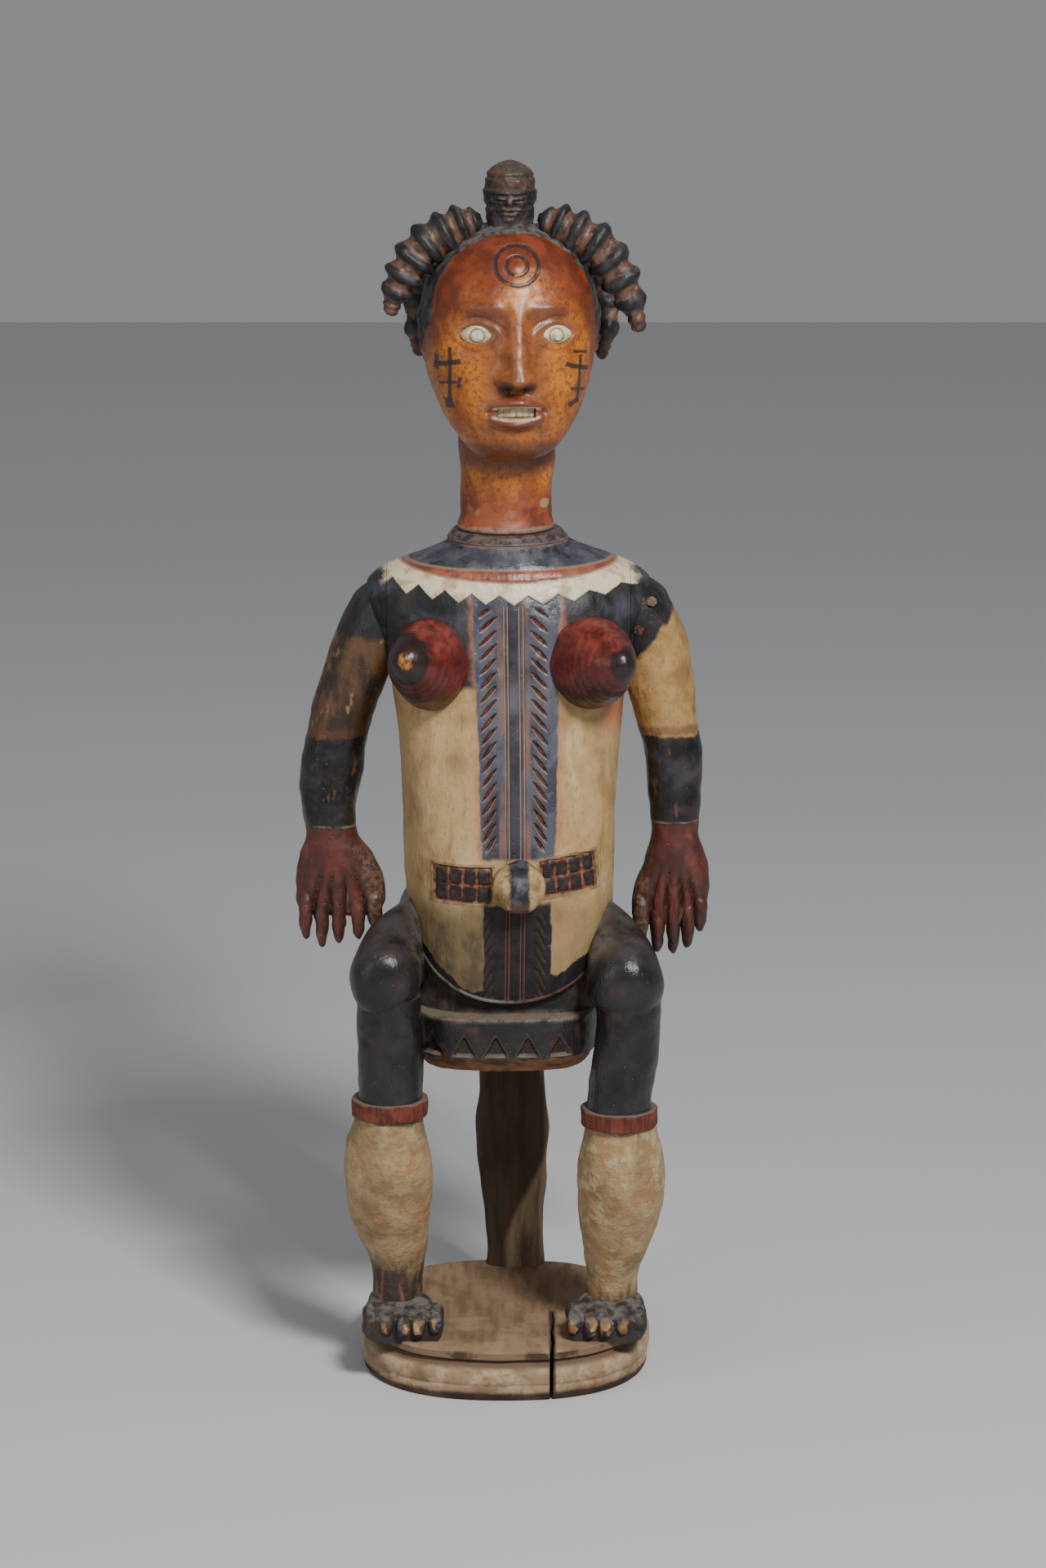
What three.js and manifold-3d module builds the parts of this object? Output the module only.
// Seated female figure: one carved and painted log with its stool and round base, two pegged arms,
// and a skin-covered head with ribbed locks of hair.
// Millimetres, +Z up. The figure faces -Y, so +X is its own left side. The origin is on the
// underside of the base, under the figure's axis.

import * as THREE from 'three';
import { mergeVertices } from 'three/addons/utils/BufferGeometryUtils.js';
import Module from 'manifold-3d';

const wasm = await Module();
wasm.setup();

const RIGHT = -1;
const LEFT = 1;
const GAP = 0.3; // clearance between pieces that touch

// Driving sizes

const BASE_HALF_WIDTH = 104;
const BASE_HALF_FRONT = 104;
const BASE_HALF_BACK = 110;
const BASE_HEIGHT = 35;
const BASE_POWER = 2.4; // a little squarer than a circle

const SEAT_UNDER = 232;
const SEAT_TOP = 272;
const SEAT_FRONT = 75;
const SEAT_BACK = 112;
const SEAT_HALF_WIDTH = 66;
const SEAT_POWER = 3.4;

const AXIS_X = 3; // the trunk stands a little to the figure's left
const TRUNK_TURN = THREE.MathUtils.degToRad(4); // and is turned a little that way
const HIP_HEIGHT = 341;
const BELLY_FOOT = 281;
const BELLY_HALF_WIDTH = 73; // of the round U that ends the belly
const BELLY_SKEW = 3.5;
const COLLAR_TOP = 609;
const JOINT_HALF_WIDTH = 85; // flat faces where the arms are pegged on

const BREAST = { halfWidth: 27, halfHeight: 32 };
const NAVEL_RADIUS = 18.5;
const NAVEL_HEIGHT = 371;

const GARTER_HEIGHT = 13;
const GARTER_HALF_WIDTH = 26.8;
const GARTER_Z = { [RIGHT]: 209, [LEFT]: 202 };

const HEAD_FOOT = 664;
const HEAD_TOP = 823;
const HEAD_TURN = THREE.MathUtils.degToRad(5);
const NECK_X = 1.2;
const HEAD_LEAN = 0.0135;
const TOPKNOT_Y = -2;
const EYE = { x: 27, z: 753, halfWidth: 11.5, halfHeight: 6.8, halfDepth: 5, sunk: 2 };
const TEETH = { z: 700.5, halfWidth: 13, halfHeight: 3.2, thick: 5, sunk: 0.5 };

// Pegs of the left shoulder: the middle of each one's outer end
const PEG = { radius: 3.6, length: 10, upper: [103, -20, 560], lower: [94, -25.5, 541] };

// Numbers of a table's row at a height between its rows, on smooth curves that never overshoot

function rowAt(rows, height) {
  const last = rows.length - 1;
  let low = 0;
  while (low < last - 1 && height > rows[low + 1][0]) low += 1;
  const span = rows[low + 1][0] - rows[low][0];
  const t = THREE.MathUtils.clamp((height - rows[low][0]) / span, 0, 1);
  const chord = (k, column) => (rows[k + 1][column] - rows[k][column]) / (rows[k + 1][0] - rows[k][0]);
  const slope = (k, column) => {
    if (k === 0) return chord(0, column);
    if (k === last) return chord(last - 1, column);
    const before = chord(k - 1, column);
    const after = chord(k, column);
    return before * after > 0 ? (2 * before * after) / (before + after) : 0;
  };
  return rows[low].map((value, column) => {
    const next = rows[low + 1][column];
    const from = slope(low, column) * span;
    const to = slope(low + 1, column) * span;
    return value * (1 - t) ** 2 * (1 + 2 * t) + from * t * (1 - t) ** 2
      + next * t ** 2 * (3 - 2 * t) - to * t ** 2 * (1 - t);
  });
}

const levels = (low, high, count) => (
  Array.from({ length: count }, (_, k) => low + ((high - low) * k) / (count - 1)));
const mix = (a, b, t) => a + (b - a) * t;
const signedPower = (value, power) => Math.sign(value) * Math.abs(value) ** power;

// Superellipse outline, counterclockwise, as pairs: half width, front and back depth, corner power

function outline(halfWidth, front, back, power, sides) {
  return Array.from({ length: sides }, (_, k) => {
    const angle = (2 * Math.PI * k) / sides;
    const deep = signedPower(Math.sin(angle), 2 / power);
    return [halfWidth * signedPower(Math.cos(angle), 2 / power), deep < 0 ? deep * front : deep * back];
  });
}

function levelRing(z, x, y, shape) {
  return shape.map(([across, deep]) => new THREE.Vector3(x + across, y + deep, z));
}

const middleOf = (ring) => (
  ring.reduce((sum, p) => sum.add(p), new THREE.Vector3()).divideScalar(ring.length));

// Closed solid through rings of equal count, each end closed by a fan to a point

function loft(rings, footPoint = middleOf(rings[0]), topPoint = middleOf(rings[rings.length - 1])) {
  const sides = rings[0].length;
  const points = [...rings.flat(), footPoint, topPoint];
  const foot = points.length - 2;
  const top = points.length - 1;
  const crown = (rings.length - 1) * sides;
  const faces = [];
  for (let j = 0; j < sides; j += 1) {
    const next = (j + 1) % sides;
    for (let i = 0; i < rings.length - 1; i += 1) {
      const a = i * sides + j;
      const b = i * sides + next;
      faces.push([a, b, a + sides], [b, b + sides, a + sides]);
    }
    faces.push([foot, next, j], [top, crown + j, crown + next]);
  }
  return new wasm.Manifold(new wasm.Mesh({
    numProp: 3,
    vertProperties: Float32Array.from(points.flatMap((p) => p.toArray())),
    triVerts: Uint32Array.from(faces.flat()),
  }));
}

// Rounded limb along a curve: size(t) gives its half width and half depth there, and `across` is
// the direction that the half width is measured in

function limb(curve, size, across, sides, steps) {
  return loft(levels(0, 1, steps).map((t) => {
    const centre = curve.getPoint(t);
    const along = curve.getTangent(t);
    const deep = new THREE.Vector3().crossVectors(along, across).normalize();
    const wide = new THREE.Vector3().crossVectors(deep, along);
    const [halfWidth, halfDepth] = size(t);
    return outline(halfWidth, halfDepth, halfDepth, 2, sides).map(([u, v]) => (
      centre.clone().addScaledVector(wide, u).addScaledVector(deep, v)));
  }));
}

const spline = (...points) => new THREE.CatmullRomCurve3(points.map((p) => new THREE.Vector3(...p)));

function solidOf(geometry) {
  geometry.deleteAttribute('normal');
  geometry.deleteAttribute('uv');
  const merged = mergeVertices(geometry);
  return new wasm.Manifold(new wasm.Mesh({
    numProp: 3,
    vertProperties: merged.attributes.position.array,
    triVerts: Uint32Array.from(merged.index.array),
  }));
}

function block(low, high) {
  const size = high.map((value, axis) => value - low[axis]);
  const centre = high.map((value, axis) => (value + low[axis]) / 2);
  return solidOf(new THREE.BoxGeometry(...size).translate(...centre));
}

const join = (...solids) => solids.reduce((sum, solid) => sum.add(solid));
const cut = (body, ...tools) => tools.reduce((rest, tool) => rest.subtract(tool), body);

// Point of the trunk: x across and y deep before its turn

function turned(x, y, z) {
  const c = Math.cos(TRUNK_TURN);
  const s = Math.sin(TRUNK_TURN);
  return new THREE.Vector3(AXIS_X + x * c - y * s, x * s + y * c, z);
}

// Round base: bottom band, rounded moulding, groove and top disc, with one open drying crack

function base() {
  const profile = [
    [0, -2], [3, -0.5], [12, 0], [20, 0.6], [27, -6.5], [29.5, -3.5], [BASE_HEIGHT, -3.5]];
  const sides = 28;
  const body = loft(profile.map(([z, grow]) => levelRing(z, 0, 0, outline(
    BASE_HALF_WIDTH + grow, BASE_HALF_FRONT + grow, BASE_HALF_BACK + grow, BASE_POWER, sides))));
  const crack = { width: 2.2, inner: -12, atInner: 34.5, atRim: 33.5 };
  const wedge = loft([-1, BASE_HEIGHT + 1].map((z) => [
    [crack.atInner - 0.3, crack.inner], [crack.atRim - crack.width / 2, -BASE_HALF_FRONT - 5],
    [crack.atRim + crack.width / 2, -BASE_HALF_FRONT - 5], [crack.atInner + 0.3, crack.inner],
  ].map(([x, y]) => new THREE.Vector3(x, y, z))));
  return cut(body, wedge);
}

// Shin with its garter band and calf. Rows: height, distance from the axis, half width, half depth,
// depth of the centre line. The left calf sits lower, and the left knee stands further out

const SHIN = [
  [38, 77, 18, 21, -38],
  [77, 77, 18.3, 20, -39],
  [105, 79.7, 24, 24.5, -47],
  [130, 82, 28.8, 28.5, -55],
  [159, 82.8, 31.4, 31, -62],
  [180, 82.6, 29.2, 29, -66],
  [197, 81.5, 25, 25, -70],
  [222, 80.4, 22.8, 23, -72],
  [290, 80.4, 22.6, 24, -71]];

function shin(side) {
  const drop = GARTER_Z[RIGHT] - GARTER_Z[side];
  const lean = side === LEFT ? 7 : 0;
  const sides = 10;
  const at = (z) => {
    const [, x, halfWidth, halfDepth, y] = rowAt(SHIN, z + drop);
    const out = lean * THREE.MathUtils.smoothstep(z, GARTER_Z[side], 280);
    return { x: side * (x + out), y, halfWidth, halfDepth };
  };
  const heights = [33, 75, 100, 130, 159, 182, 203, 225, 290];
  const bone = loft(heights.map((z) => {
    const row = at(z);
    return levelRing(z, row.x, row.y, outline(row.halfWidth, row.halfDepth, row.halfDepth, 2.1, sides));
  }));
  const row = at(GARTER_Z[side]);
  const half = GARTER_HEIGHT / 2;
  const band = loft([[-half, -1.2], [1 - half, 0], [half - 1, 0], [half, -1.2]].map(([up, grow]) => {
    const radius = GARTER_HALF_WIDTH + grow;
    return levelRing(GARTER_Z[side] + up, row.x, row.y, outline(radius, radius, radius, 2.1, sides));
  }));
  return join(bone, band);
}

// Foot with five worn toes over the rim of the base

function foot(side) {
  const rows = [
    [-14, 77, 14, 52], [-22, 77, 19, 60], [-40, 76, 23, 63], [-58, 73.5, 27.5, 59], [-70, 72.5, 29, 55],
    [-76, 72.5, 27, 51]];
  const bottom = BASE_HEIGHT - 2;
  const sole = loft(rows.map(([y, x, halfWidth, top]) => {
    const half = (top - bottom) / 2;
    return outline(halfWidth, half, half, 3, 8).map(([u, v]) => (
      new THREE.Vector3(side * x + u, y, bottom + half + v)));
  }));
  const toes = levels(-1, 1, 5).map((place) => {
    const x = side * 72.5 + place * 23;
    const reach = -84 + 9 * place * place + side * place * 4;
    return limb(spline([x, -58, 50], [x, -70, 48.5], [x, reach, 42]),
      (t) => [5.9 - 1.2 * t ** 3, 7.4 - 2.2 * t ** 3], new THREE.Vector3(1, 0, 0), 5, 3);
  });
  return join(sole, ...toes);
}

// Thigh: short, from the hip to a rounded knee

function thigh(side) {
  const knee = side === LEFT ? { x: 84.5, z: 300, half: 27 } : { x: 83.5, z: 303, half: 25.3 };
  const curve = spline([side * 56, 30, 318], [side * 61.5, -12, 314], [side * 79.5, -46, 308],
    [side * knee.x, -72, knee.z], [side * (knee.x + 1), -98, knee.z - 4]);
  const size = (t) => {
    const slim = THREE.MathUtils.smoothstep(t, 0.3, 0.75);
    const round = t < 0.7 ? 1 : Math.max(1 - ((t - 0.7) / 0.301) ** 2.8, 0.001) ** (1 / 2.8);
    return [mix(21, knee.half, slim) * round, mix(37, 28.5, slim) * round];
  };
  return limb(curve, size, new THREE.Vector3(side, side * 0.25, 0), 10, 9);
}

// Hips and lap between the thighs, on the stool's seat

function pelvis() {
  const rows = [
    [258, 64, 57, 68, 3.2], [290, 68, 57, 76, 3], [325, 72, 54, 68, 2.6], [358, 68, 40, 52, 2.4]];
  return loft(rows.map(([z, halfWidth, front, back, power]) => (
    levelRing(z, AXIS_X, 0, outline(halfWidth, front, back, power, 16)))));
}

// Stool seat: thick slab with a rough chamfer below and triangles cut into its front face

function seat() {
  const rows = [[SEAT_UNDER, -11], [SEAT_UNDER + 5, -6], [SEAT_UNDER + 11, 0], [SEAT_TOP, 0]];
  const slab = loft(rows.map(([z, grow]) => levelRing(z, 0, 0, outline(
    SEAT_HALF_WIDTH + grow * 0.6, SEAT_FRONT + grow, SEAT_BACK + grow * 0.6, SEAT_POWER, 20))));
  const notch = { half: 8.5, foot: SEAT_UNDER + 13, height: 15, depth: 3 };
  const notches = [-51, -28.5, -6, 16.5, 39].map((x) => {
    const top = notch.foot + notch.height;
    const corners = [[x - notch.half, notch.foot], [x + notch.half, notch.foot], [x, top]];
    return loft([notch.depth, -4].map((under) => corners.map(([u, z]) => {
      const face = (1 - Math.abs(u / SEAT_HALF_WIDTH) ** SEAT_POWER) ** (1 / SEAT_POWER);
      return new THREE.Vector3(u, under - SEAT_FRONT * face, z);
    })));
  });
  return cut(slab, ...notches);
}

// Rear post: a third leg at the back rim, swelling like a calf

function post() {
  const rows = [[33, 7.5, 22], [60, 7, 21.5], [100, 5.5, 24.5], [139, 5, 27], [170, 5, 24.5], [240, 5, 22]];
  return loft(rows.map(([z, x, halfWidth]) => (
    levelRing(z, x, 100, outline(halfWidth, halfWidth * 0.5, 11, 2.5, 10)))));
}

// Trunk. Rows: height, half width, front, back, corner power

const TRUNK = [
  [BELLY_FOOT, 73, 66, 40, 2.5],
  [300, 73, 72, 42, 2.6],
  [HIP_HEIGHT, BELLY_HALF_WIDTH, 77, 45, 2.6],
  [371, 73.8, 78, 45, 2.6],
  [420, 75.6, 76, 44, 2.6],
  [461, 78, 72, 47, 2.6],
  [505, 83, 66, 51, 2.5],
  [540, 93, 61, 52, 2.4],
  [560, 101, 57, 50, 2.3],
  [573, 99, 53, 46, 2.2],
  [581, 91, 50, 43, 2.2],
  [589, 74, 46, 39, 2.1],
  [597, 52, 41, 36, 2],
  [601, 43, 39, 36, 2]];

function trunkFront(x, z) {
  const [, halfWidth, front, , power] = rowAt(TRUNK, z);
  return front * Math.max(1 - Math.abs(x / halfWidth) ** power, 0) ** (1 / power);
}

function trunk() {
  const sides = 24;
  const ring = (z) => {
    const [, halfWidth, front, back, power] = rowAt(TRUNK, z);
    return outline(halfWidth, front, back, power, sides).map(([x, y]) => turned(x, y, z));
  };
  const heights = [BELLY_FOOT - 1, 310, HIP_HEIGHT, 380, 430, 475, 510, 538, 558, 572, 582, 591, 601];
  return loft(heights.map(ring)).intersect(bellyRoom());
}

// Upright room for the trunk whose lower edge, seen from the front, is the belly's U. Its lowest
// point lies a little to the figure's right
function bellyRoom() {
  const edge = levels(Math.PI, 2 * Math.PI, 15).map((angle) => [
    BELLY_HALF_WIDTH * Math.cos(angle) + BELLY_SKEW * Math.sin(angle),
    HIP_HEIGHT + (HIP_HEIGHT - BELLY_FOOT) * Math.sin(angle)]);
  const wide = 130;
  const shape = [[-wide, COLLAR_TOP], [-wide, HIP_HEIGHT], ...edge, [wide, HIP_HEIGHT], [wide, COLLAR_TOP]];
  return loft([150, -150].map((y) => shape.map(([x, z]) => turned(x, y, z))));
}

function collar() {
  const rows = [[590, 46], [603, 42], [605.5, 39.5], [COLLAR_TOP, 37.5]];
  return loft(rows.map(([z, radius]) => (
    levelRing(z, AXIS_X - 1, 0, outline(radius, radius, radius, 2, 16)))));
}

// Breast: blunt cone from the chest to its tip, turned outward and a little taller than wide

function breast(side) {
  const tip = side === LEFT ? [84, -104, 532] : [-69, -108, 536];
  const root = side === LEFT ? [53, -42, 522] : [-46, -42, 520];
  const curve = spline(root, root.map((value, axis) => mix(value, tip[axis], 0.5)), tip);
  const shape = [
    [0, 1], [0.25, 1], [0.45, 0.92], [0.62, 0.77], [0.76, 0.61], [0.88, 0.43], [0.96, 0.27], [1, 0.12]];
  const size = (t) => {
    const grow = rowAt(shape, t)[1];
    return [BREAST.halfWidth * grow, BREAST.halfHeight * grow];
  };
  return limb(curve, size, new THREE.Vector3(1, 0, 0), 11, 7);
}

function navel() {
  const centre = turned(1, -88, NAVEL_HEIGHT);
  return solidOf(new THREE.SphereGeometry(NAVEL_RADIUS, 10, 7)
    .rotateX(Math.PI / 2).translate(centre.x, centre.y, centre.z));
}

// Incised centre lines, herringbone gouges, and two scar panels of raised squares, all cut a little
// over a millimetre into the front of the trunk

const CARVING = { depth: 1.8, top: 564, foot: 396, line: 6.5 };
const GOUGE = { count: 16, length: 19, width: 4.6, column: 18.5, lowAngle: 1, highAngle: 0.65 };
const PANEL = {
  columns: 4, rows: 2, squareWidth: 7.5, squareHeight: 9.8, groove: 2, inner: 17,
  middle: { [RIGHT]: 370, [LEFT]: 376 }, tilt: { [RIGHT]: 0, [LEFT]: 0.1 },
};

// Point at x and z on the trunk's front, and so deep under it
const underFront = (x, z, depth) => turned(x, depth - trunkFront(x, z), z);

// Place of a point at u and v of a small plan that lies tilted on the front about x and z
function onFront([x, z], [u, v], tilt) {
  const c = Math.cos(tilt);
  const s = Math.sin(tilt);
  return [x + u * c - v * s, z + u * s + v * c];
}

// Boat-shaped gouge about a point in x and z
function gouge(middle, angle) {
  const [along, across] = [GOUGE.length / 2, GOUGE.width / 2];
  const rim = [[-along, 0], [0, -across], [along, 0], [0, across]].map((place) => (
    underFront(...onFront(middle, place, angle), -0.7)));
  return loft([rim], underFront(...middle, CARVING.depth), underFront(...middle, -3));
}

// Plate sunk into the front: half width and half height about a point in x and z, tilted
function recess(middle, halfWidth, halfHeight, tilt, depth, steps = 1, proud = 3) {
  const across = levels(-halfWidth, halfWidth, steps + 1);
  const rim = [...across.map((u) => [u, -halfHeight]), ...across.reverse().map((u) => [u, halfHeight])];
  const level = (under) => rim.map((place) => underFront(...onFront(middle, place, tilt), under));
  return loft([level(depth), level(-proud)]);
}

function herringbone() {
  return levels(0, 1, GOUGE.count).flatMap((up) => [RIGHT, LEFT].map((side) => {
    const z = mix(CARVING.foot + 4, CARVING.top - 5, up);
    return gouge([side * GOUGE.column, z], -side * mix(GOUGE.lowAngle, GOUGE.highAngle, up));
  }));
}

function centreLines() {
  const half = (CARVING.top - CARVING.foot) / 4;
  return [RIGHT, LEFT].flatMap((side) => [half, 3 * half].map((up) => (
    recess([side * CARVING.line, CARVING.foot + up], 0.8, half + 0.1, 0, CARVING.depth))));
}

// Middles of a scar panel and of its squares, in x and z, with the panel's half sizes and tilt
function panelLayout(side) {
  const [wide, tall] = [PANEL.squareWidth + PANEL.groove, PANEL.squareHeight + PANEL.groove];
  const halfWidth = (wide * PANEL.columns + PANEL.groove) / 2;
  const halfHeight = (tall * PANEL.rows + PANEL.groove) / 2;
  const tilt = PANEL.tilt[side];
  const middle = [side * (PANEL.inner + halfWidth), PANEL.middle[side]];
  const squares = levels(1 - PANEL.columns, PANEL.columns - 1, PANEL.columns).flatMap((column) => (
    levels(1 - PANEL.rows, PANEL.rows - 1, PANEL.rows).map((row) => (
      onFront(middle, [(column * wide) / 2, (row * tall) / 2], tilt)))));
  return { middle, halfWidth, halfHeight, tilt, squares };
}

function scarBed(side) {
  const { middle, halfWidth, halfHeight, tilt } = panelLayout(side);
  return recess(middle, halfWidth, halfHeight, tilt, CARVING.depth - 0.4, 2);
}

function scarSquares(side) {
  const { squares, tilt } = panelLayout(side);
  return squares.map((centre) => (
    recess(centre, PANEL.squareWidth / 2, PANEL.squareHeight / 2, tilt, CARVING.depth + 1, 1, 0)));
}

// Arm, pegged to the flat face of the shoulder. Rows: height, distance from the axis, half width,
// half depth, depth of the centre line

const ARM = {
  [RIGHT]: [
    [334, 116.5, 27, 9, -14], [344, 116.8, 31, 12, -13.5], [360, 117.6, 31.2, 14, -12.5],
    [376, 119, 26.4, 15.5, -11.5], [393, 122.8, 17.4, 16.5, -10], [410, 124.6, 19.6, 19.5, -8],
    [440, 122.4, 22, 22, -5], [475, 115.5, 22.6, 24, -2], [510, 103, 24.4, 28, 1],
    [540, 90, 27, 31, 2], [562, 80, 25.5, 31, 2], [576, 71, 14, 20, 2]],
  [LEFT]: [
    [326, 117, 23, 9, -10], [334, 117, 27, 11.5, -9.5], [350, 118.5, 27.2, 14, -8.5],
    [372, 121.2, 22.2, 15.5, -7.5], [392, 121.3, 16.1, 16, -6], [412, 120.8, 18, 18.5, -4],
    [444, 119, 20, 21.5, -1], [475, 114.4, 22.4, 24, 1], [505, 108, 25.4, 27, 4],
    [535, 98.5, 28.6, 31, 7], [562, 85, 29.5, 32, 7], [579, 75, 16, 20, 7]],
};

// Fingers from little finger to thumb: root x and z, tip x and z
const FINGERS = {
  [RIGHT]: [
    [141, 356, 141.5, 316], [130, 354, 130, 309.5], [118, 353, 118, 312], [105, 355, 103.5, 315],
    [93.5, 356, 92, 323]],
  [LEFT]: [
    [138.5, 352, 139, 320], [130.5, 348, 130, 307.5], [120, 346, 120, 303], [109, 347, 108.5, 304.5],
    [98, 352, 96, 310]],
};

function arm(side) {
  const rows = ARM[side];
  const shaft = loft(rows.map(([z, x, halfWidth, halfDepth, y]) => (
    levelRing(z, side * x, y, outline(halfWidth, halfDepth, halfDepth, 2.1, 10)))));
  const y = rows[2][4] - 3;
  const digits = FINGERS[side].map(([rootX, rootZ, tipX, tipZ], k) => {
    const middle = [side * mix(rootX, tipX, 0.5), y - 2, mix(rootZ, tipZ, 0.5)];
    const curve = spline([side * rootX, y, rootZ], middle, [side * tipX, y + 1, tipZ]);
    const size = (t) => {
      const slim = t > 0.9 ? 0.3 : 1 - 0.25 * t;
      return [(k === 4 ? 6.6 : 5.7) * slim, 8 * slim];
    };
    return limb(curve, size, new THREE.Vector3(1, 0, 0), 5, 4);
  });
  return join(shaft, ...digits);
}

// Head and neck. Rows: height, half width, front, back, corner power

const HEAD = [
  [HEAD_FOOT, 14, 46, -18, 2],
  [667, 24, 56, -8, 2.1],
  [674, 33, 62, 2, 2.2],
  [688, 43, 67, 22, 2.2],
  [706, 51.5, 70, 44, 2.2],
  [730, 58.5, 72, 60, 2.2],
  [755, 61, 72, 69, 2.2],
  [780, 58, 69, 71, 2.2],
  [797, 50, 61, 65, 2.2],
  [809, 40, 50, 55, 2.1],
  [817.5, 27, 36, 40, 2],
  [HEAD_TOP, 9, 14, 16, 2]];

const bump = (x, z, cx, cz, wide, tall) => Math.exp(-(((x - cx) / wide) ** 2) - ((z - cz) / tall) ** 2);

// How far the face stands forward of the egg of the head, x across from its middle
function faceRelief(x, z) {
  const a = Math.abs(x);
  const brow = 3.4 * bump(a, z - 0.03 * a, 24, 771, 17, 5.5);
  const socket = -5.2 * bump(a, z, 27, 754, 15, 10) + 2.2 * bump(a, z, 27, 753, 10, 6);
  const bridge = THREE.MathUtils.clamp((776 - z) / 52, 0, 1);
  const nose = z < 722 ? 17 * Math.exp(-(((722 - z) / 4.5) ** 2)) * Math.exp(-((x / 9.5) ** 2))
    : (3 + 14 * bridge ** 1.4) * Math.exp(-((x / (5 + 4.5 * bridge)) ** 2)) * Math.min((782 - z) / 12, 1);
  const wings = 6 * bump(a, z, 10.5, 724, 5.5, 5.5);
  const muzzle = 4.5 * bump(x, z, 0, 700, 24, 15);
  const upperLip = 5 * bump(x, z + 0.012 * x * x, 0, 708.5, 17, 3.4);
  const lowerLip = 5.5 * bump(x, z - 0.012 * x * x, 0, 692.5, 15, 3.8);
  const parting = -4.5 * bump(x, z, 0, 700.5, 15, 2.6);
  const chin = 4.5 * bump(x, z, 0, 675, 15, 8);
  const cheek = 2.2 * bump(a, z, 38, 735, 14, 13);
  return brow + socket + Math.max(nose, 0) + wings + muzzle + upperLip + lowerLip + parting + chin + cheek;
}

// Place of a point of the head: turned with the trunk and leaning slightly to the figure's left
function headPoint(x, y, z) {
  const c = Math.cos(HEAD_TURN);
  const s = Math.sin(HEAD_TURN);
  const lean = NECK_X + (z - COLLAR_TOP) * HEAD_LEAN;
  return new THREE.Vector3(lean + x * c - y * s, x * s + y * c, z);
}

// Depth of the face's surface at x across from its middle
function faceDepth(x, z) {
  const [, halfWidth, front, back, power] = rowAt(HEAD, z);
  const egg = Math.max(1 - Math.abs(x / halfWidth) ** power, 0) ** (1 / power);
  return (back - front) / 2 - ((back + front) / 2) * egg - faceRelief(x, z);
}

// Level ring of the head, with its points closer together across the face
function headRing(z, sides, grow) {
  const [, halfWidth, front, back, power] = rowAt(HEAD, z);
  return levels(-1, 1, sides + 1).slice(0, -1).map((place) => {
    const angle = -Math.PI / 2 + Math.PI * (0.55 * place + 0.45 * place ** 3);
    const x = (halfWidth + grow) * signedPower(Math.cos(angle), 2 / power);
    const y = (back - front) / 2 + ((back + front) / 2 + grow) * signedPower(Math.sin(angle), 2 / power);
    const facing = grow > 0 ? 0 : THREE.MathUtils.smoothstep(-Math.sin(angle), 0.1, 0.5);
    return headPoint(x, y - facing * faceRelief(x, z), z);
  });
}

function egg(grow) {
  const face = levels(683, 779, grow > 0 ? 9 : 16);
  const heights = [HEAD_FOOT - grow, 668, 675, ...face, 789, 799, 809, 817, HEAD_TOP + grow];
  return loft(heights.map((z) => headRing(z, 28, grow)));
}

function neck() {
  const rows = [[COLLAR_TOP + GAP, 34], [620, 32.6], [640, 31.8], [665, 33.5], [708, 32]];
  return loft(rows.map(([z, radius]) => outline(radius, radius, radius, 2, 16).map(([x, y]) => (
    headPoint(x, y + 2, z)))));
}

// Inlays let into the face: a lens for each eye, and a row of teeth between the lips

function eye(side, grow) {
  const [x, z] = [side * EYE.x, EYE.z];
  const centre = headPoint(x, faceDepth(x, z) + EYE.sunk, z);
  return solidOf(new THREE.SphereGeometry(1, 9, 5).rotateX(Math.PI / 2)
    .scale(EYE.halfWidth + grow, EYE.halfDepth + grow, EYE.halfHeight + grow)
    .rotateZ(side * 0.35 + HEAD_TURN).translate(centre.x, centre.y, centre.z));
}

function teeth() {
  const front = (x) => faceDepth(0, TEETH.z) + TEETH.sunk + (x * x) / 60;
  const ring = (z) => [[1, 0], [0, 0], [-1, 0], [-1, 1], [0, 1], [1, 1]].map(([part, back]) => {
    const x = part * TEETH.halfWidth;
    return headPoint(x, front(x) + back * TEETH.thick, z);
  }).reverse();
  return loft([ring(TEETH.z - TEETH.halfHeight), ring(TEETH.z + TEETH.halfHeight)]);
}

function mouth() {
  const low = faceDepth(0, TEETH.z) + TEETH.sunk - 6;
  const high = low + 6 + TEETH.thick + TEETH.halfWidth ** 2 / 60 + GAP;
  const half = TEETH.halfWidth + GAP;
  const corners = [[-half, low], [half, low], [half, high], [-half, high]];
  const tall = TEETH.halfHeight + GAP;
  return loft([TEETH.z - tall, TEETH.z + tall].map((z) => corners.map(([x, y]) => headPoint(x, y, z))));
}

// Ribbed lock of hair: raised bands with grooves between them, and a small knob at its tip

function lock(curve, girth, ribs, flat, sides) {
  const knobAt = 0.9;
  const stops = levels(0, ribs, ribs + 1).slice(0, -1).flatMap((k) => (
    [0, 0.5].map((part) => [((k + part) / ribs) * knobAt, part > 0 ? 1 : 0.78])));
  const rings = [...stops, [knobAt, 0.6], [0.95, 0.72], [1, 0.4]];
  return loft(rings.map(([t, swell]) => {
    const centre = curve.getPoint(t);
    const along = curve.getTangent(t);
    const deep = new THREE.Vector3().crossVectors(along, new THREE.Vector3(0, 1, 0)).normalize();
    const wide = new THREE.Vector3().crossVectors(deep, along);
    const radius = rowAt(girth, t)[1] * swell;
    return outline(radius * flat, radius, radius, 2.2, sides).map(([u, v]) => (
      centre.clone().addScaledVector(wide, u).addScaledVector(deep, v)));
  }));
}

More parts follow.
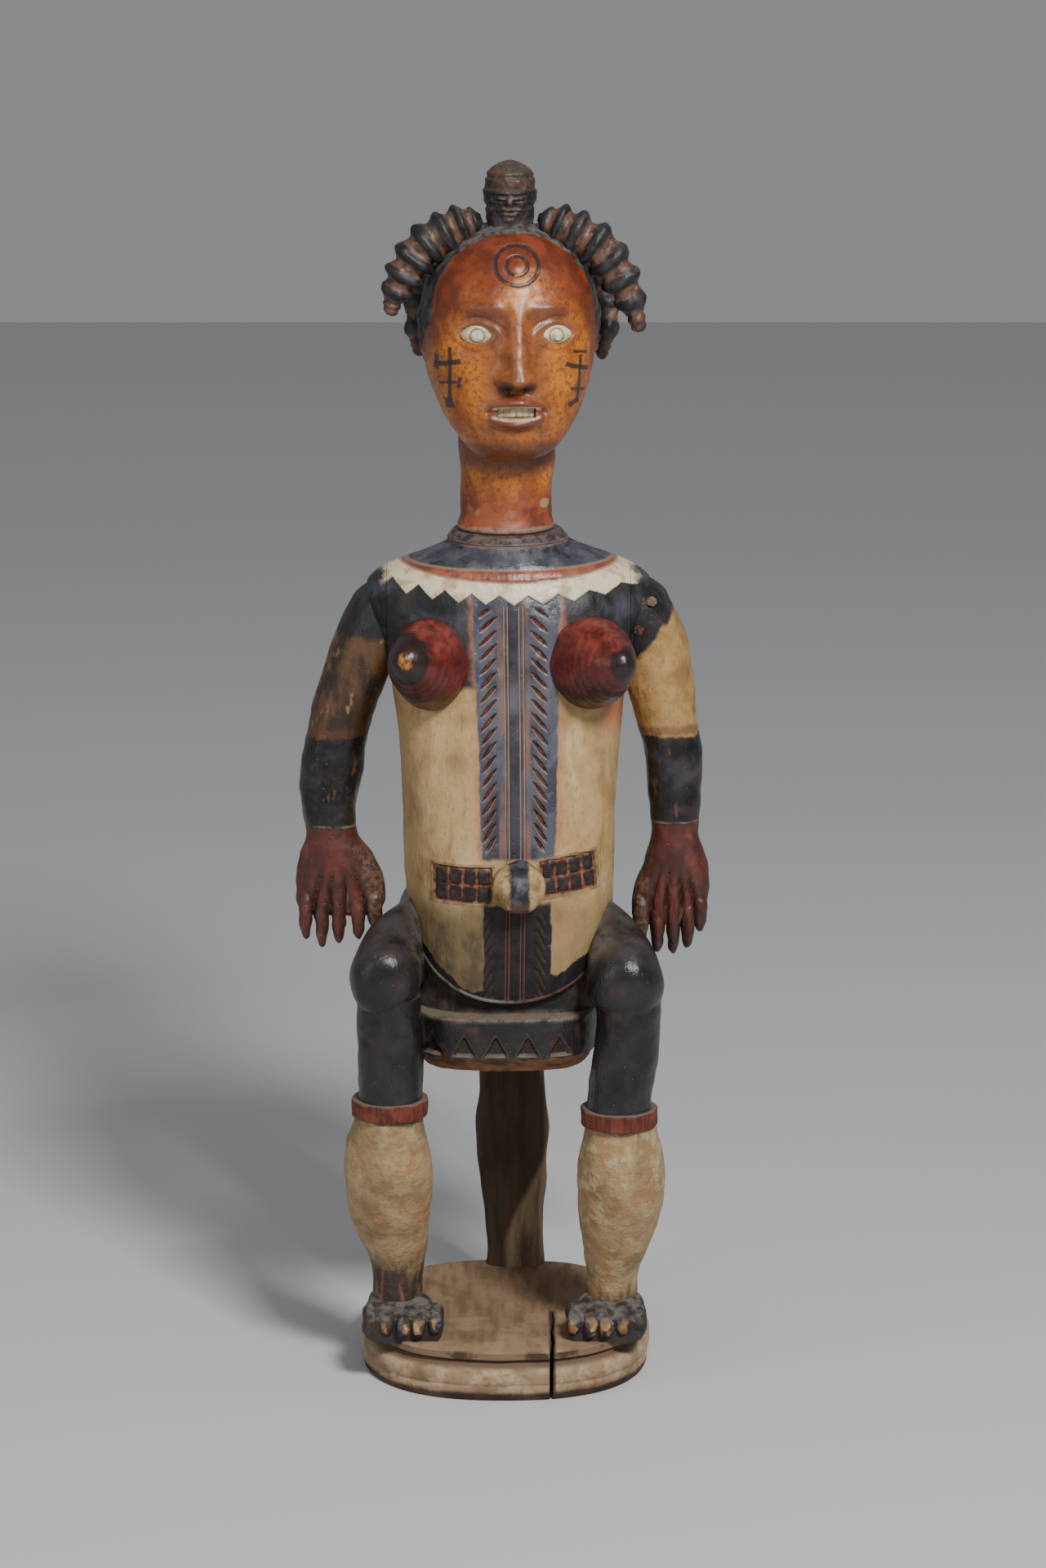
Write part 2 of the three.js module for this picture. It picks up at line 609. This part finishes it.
const HORN = {
  [RIGHT]: spline([-15.5, -9, 827], [-34, -13, 820], [-56, -15, 806], [-71, -13, 784], [-80, -9, 760]),
  [LEFT]: spline([23.5, -9, 827], [42, -13, 820], [66, -15, 806], [83, -12, 780], [95, -8, 748]),
};
const HORN_GIRTH = [[0, 4], [0.1, 11.5], [0.22, 16], [0.4, 17], [0.62, 15.5], [0.8, 12.5], [0.9, 9], [1, 8]];

const BACK_LOCK = {
  [RIGHT]: spline([-10, 38, 812], [-36, 60, 802], [-55, 65, 780], [-62, 58, 750], [-60, 48, 724]),
  [LEFT]: spline([17, 38, 812], [46, 58, 802], [68, 61, 780], [73, 54, 752], [68, 47, 722]),
};
const BACK_GIRTH = [[0, 8], [0.3, 12], [0.7, 10], [0.9, 7.5], [1, 6.5]];

function topknot() {
  const rows = [
    [813, 14.8], [833, 17.2], [835, 16.2], [839, 18.3], [846, 18.3], [848, 17], [854, 16.8], [861, 12.5],
    [866, 3.5]];
  return loft(rows.map(([z, radius]) => outline(radius, radius, radius, 2.1, 10).map(([x, y]) => (
    new THREE.Vector3(4 + x, TOPKNOT_Y + y, z)))));
}

// Wooden peg of the left shoulder, driven in from the front, and the room cut for it

function peg([x, y, z], grow, proud) {
  const length = PEG.length + grow + proud;
  return solidOf(new THREE.CylinderGeometry(PEG.radius + grow, PEG.radius + grow, length, 10)
    .translate(x, y - proud + length / 2, z));
}

const shoulders = join(trunk(), collar());
const arms = { [RIGHT]: arm(RIGHT), [LEFT]: arm(LEFT) };
const parting = (side) => AXIS_X + side * JOINT_HALF_WIDTH;
const inside = block([parting(RIGHT), -200, 0], [parting(LEFT), 200, 900]);
const beyond = (side) => block(
  side === LEFT ? [parting(LEFT) + GAP, -200, 0] : [-300, -200, 0],
  side === LEFT ? [300, 200, 900] : [parting(RIGHT) - GAP, 200, 900]);
const upper = join(shoulders, arms[RIGHT], arms[LEFT]);
const carved = cut(
  upper.intersect(inside), ...herringbone(), ...centreLines(), scarBed(RIGHT), scarBed(LEFT));
const chest = join(
  carved, ...scarSquares(RIGHT), ...scarSquares(LEFT), breast(RIGHT), breast(LEFT), navel());
const legs = join(thigh(RIGHT), thigh(LEFT), shin(RIGHT), shin(LEFT), foot(RIGHT), foot(LEFT));
const log = join(base(), post(), seat(), pelvis(), legs, chest);

const skull = join(egg(0), neck());
const skullRoom = egg(GAP + 0.15);
const skin = cut(skull, eye(RIGHT, GAP), eye(LEFT, GAP), mouth());

const PAINT = {
  blackWood: { color: 0x2a2522, roughness: 0.6 },
  redWood: { color: 0x5a2c22, roughness: 0.6 },
  skin: { color: 0x9a5a1e, roughness: 0.35 },
  kaolin: { color: 0xb9ad94, roughness: 0.8 },
  rawWood: { color: 0x8d7a5f, roughness: 0.8 },
};

function piece(name, solid, { color, roughness }) {
  const { vertProperties, triVerts } = solid.getMesh();
  const geometry = new THREE.BufferGeometry();
  geometry.setAttribute('position', new THREE.BufferAttribute(vertProperties, 3));
  geometry.setIndex(new THREE.BufferAttribute(triVerts, 1));
  const mesh = new THREE.Mesh(geometry, new THREE.MeshStandardMaterial({ color, roughness, metalness: 0 }));
  mesh.name = name;
  return mesh;
}

const pegRooms = [PEG.upper, PEG.lower].map((place) => peg(place, GAP, 12));
const figure = new THREE.Group();
figure.add(
  piece('figure_body', log, PAINT.blackWood),
  piece('right_arm', upper.intersect(beyond(RIGHT)), PAINT.blackWood),
  piece('left_arm', cut(upper.intersect(beyond(LEFT)), ...pegRooms), PAINT.blackWood),
  piece('left_shoulder_peg_upper', peg(PEG.upper, 0, 0), PAINT.rawWood),
  piece('left_shoulder_peg_lower', peg(PEG.lower, 0, 0), PAINT.rawWood),
  piece('head', skin, PAINT.skin),
  piece('right_eye', eye(RIGHT, 0), PAINT.kaolin),
  piece('left_eye', eye(LEFT, 0), PAINT.kaolin),
  piece('teeth', teeth(), PAINT.kaolin),
  piece('topknot', cut(topknot(), skullRoom), PAINT.blackWood),
  piece('right_hair_horn', cut(lock(HORN[RIGHT], HORN_GIRTH, 7, 0.85, 7), skullRoom), PAINT.blackWood),
  piece('left_hair_horn', cut(lock(HORN[LEFT], HORN_GIRTH, 7, 0.85, 7), skullRoom), PAINT.blackWood),
  piece('right_back_lock', cut(lock(BACK_LOCK[RIGHT], BACK_GIRTH, 6, 0.9, 6), skullRoom), PAINT.blackWood),
  piece('left_back_lock', cut(lock(BACK_LOCK[LEFT], BACK_GIRTH, 6, 0.9, 6), skullRoom), PAINT.blackWood),
);
export default figure;
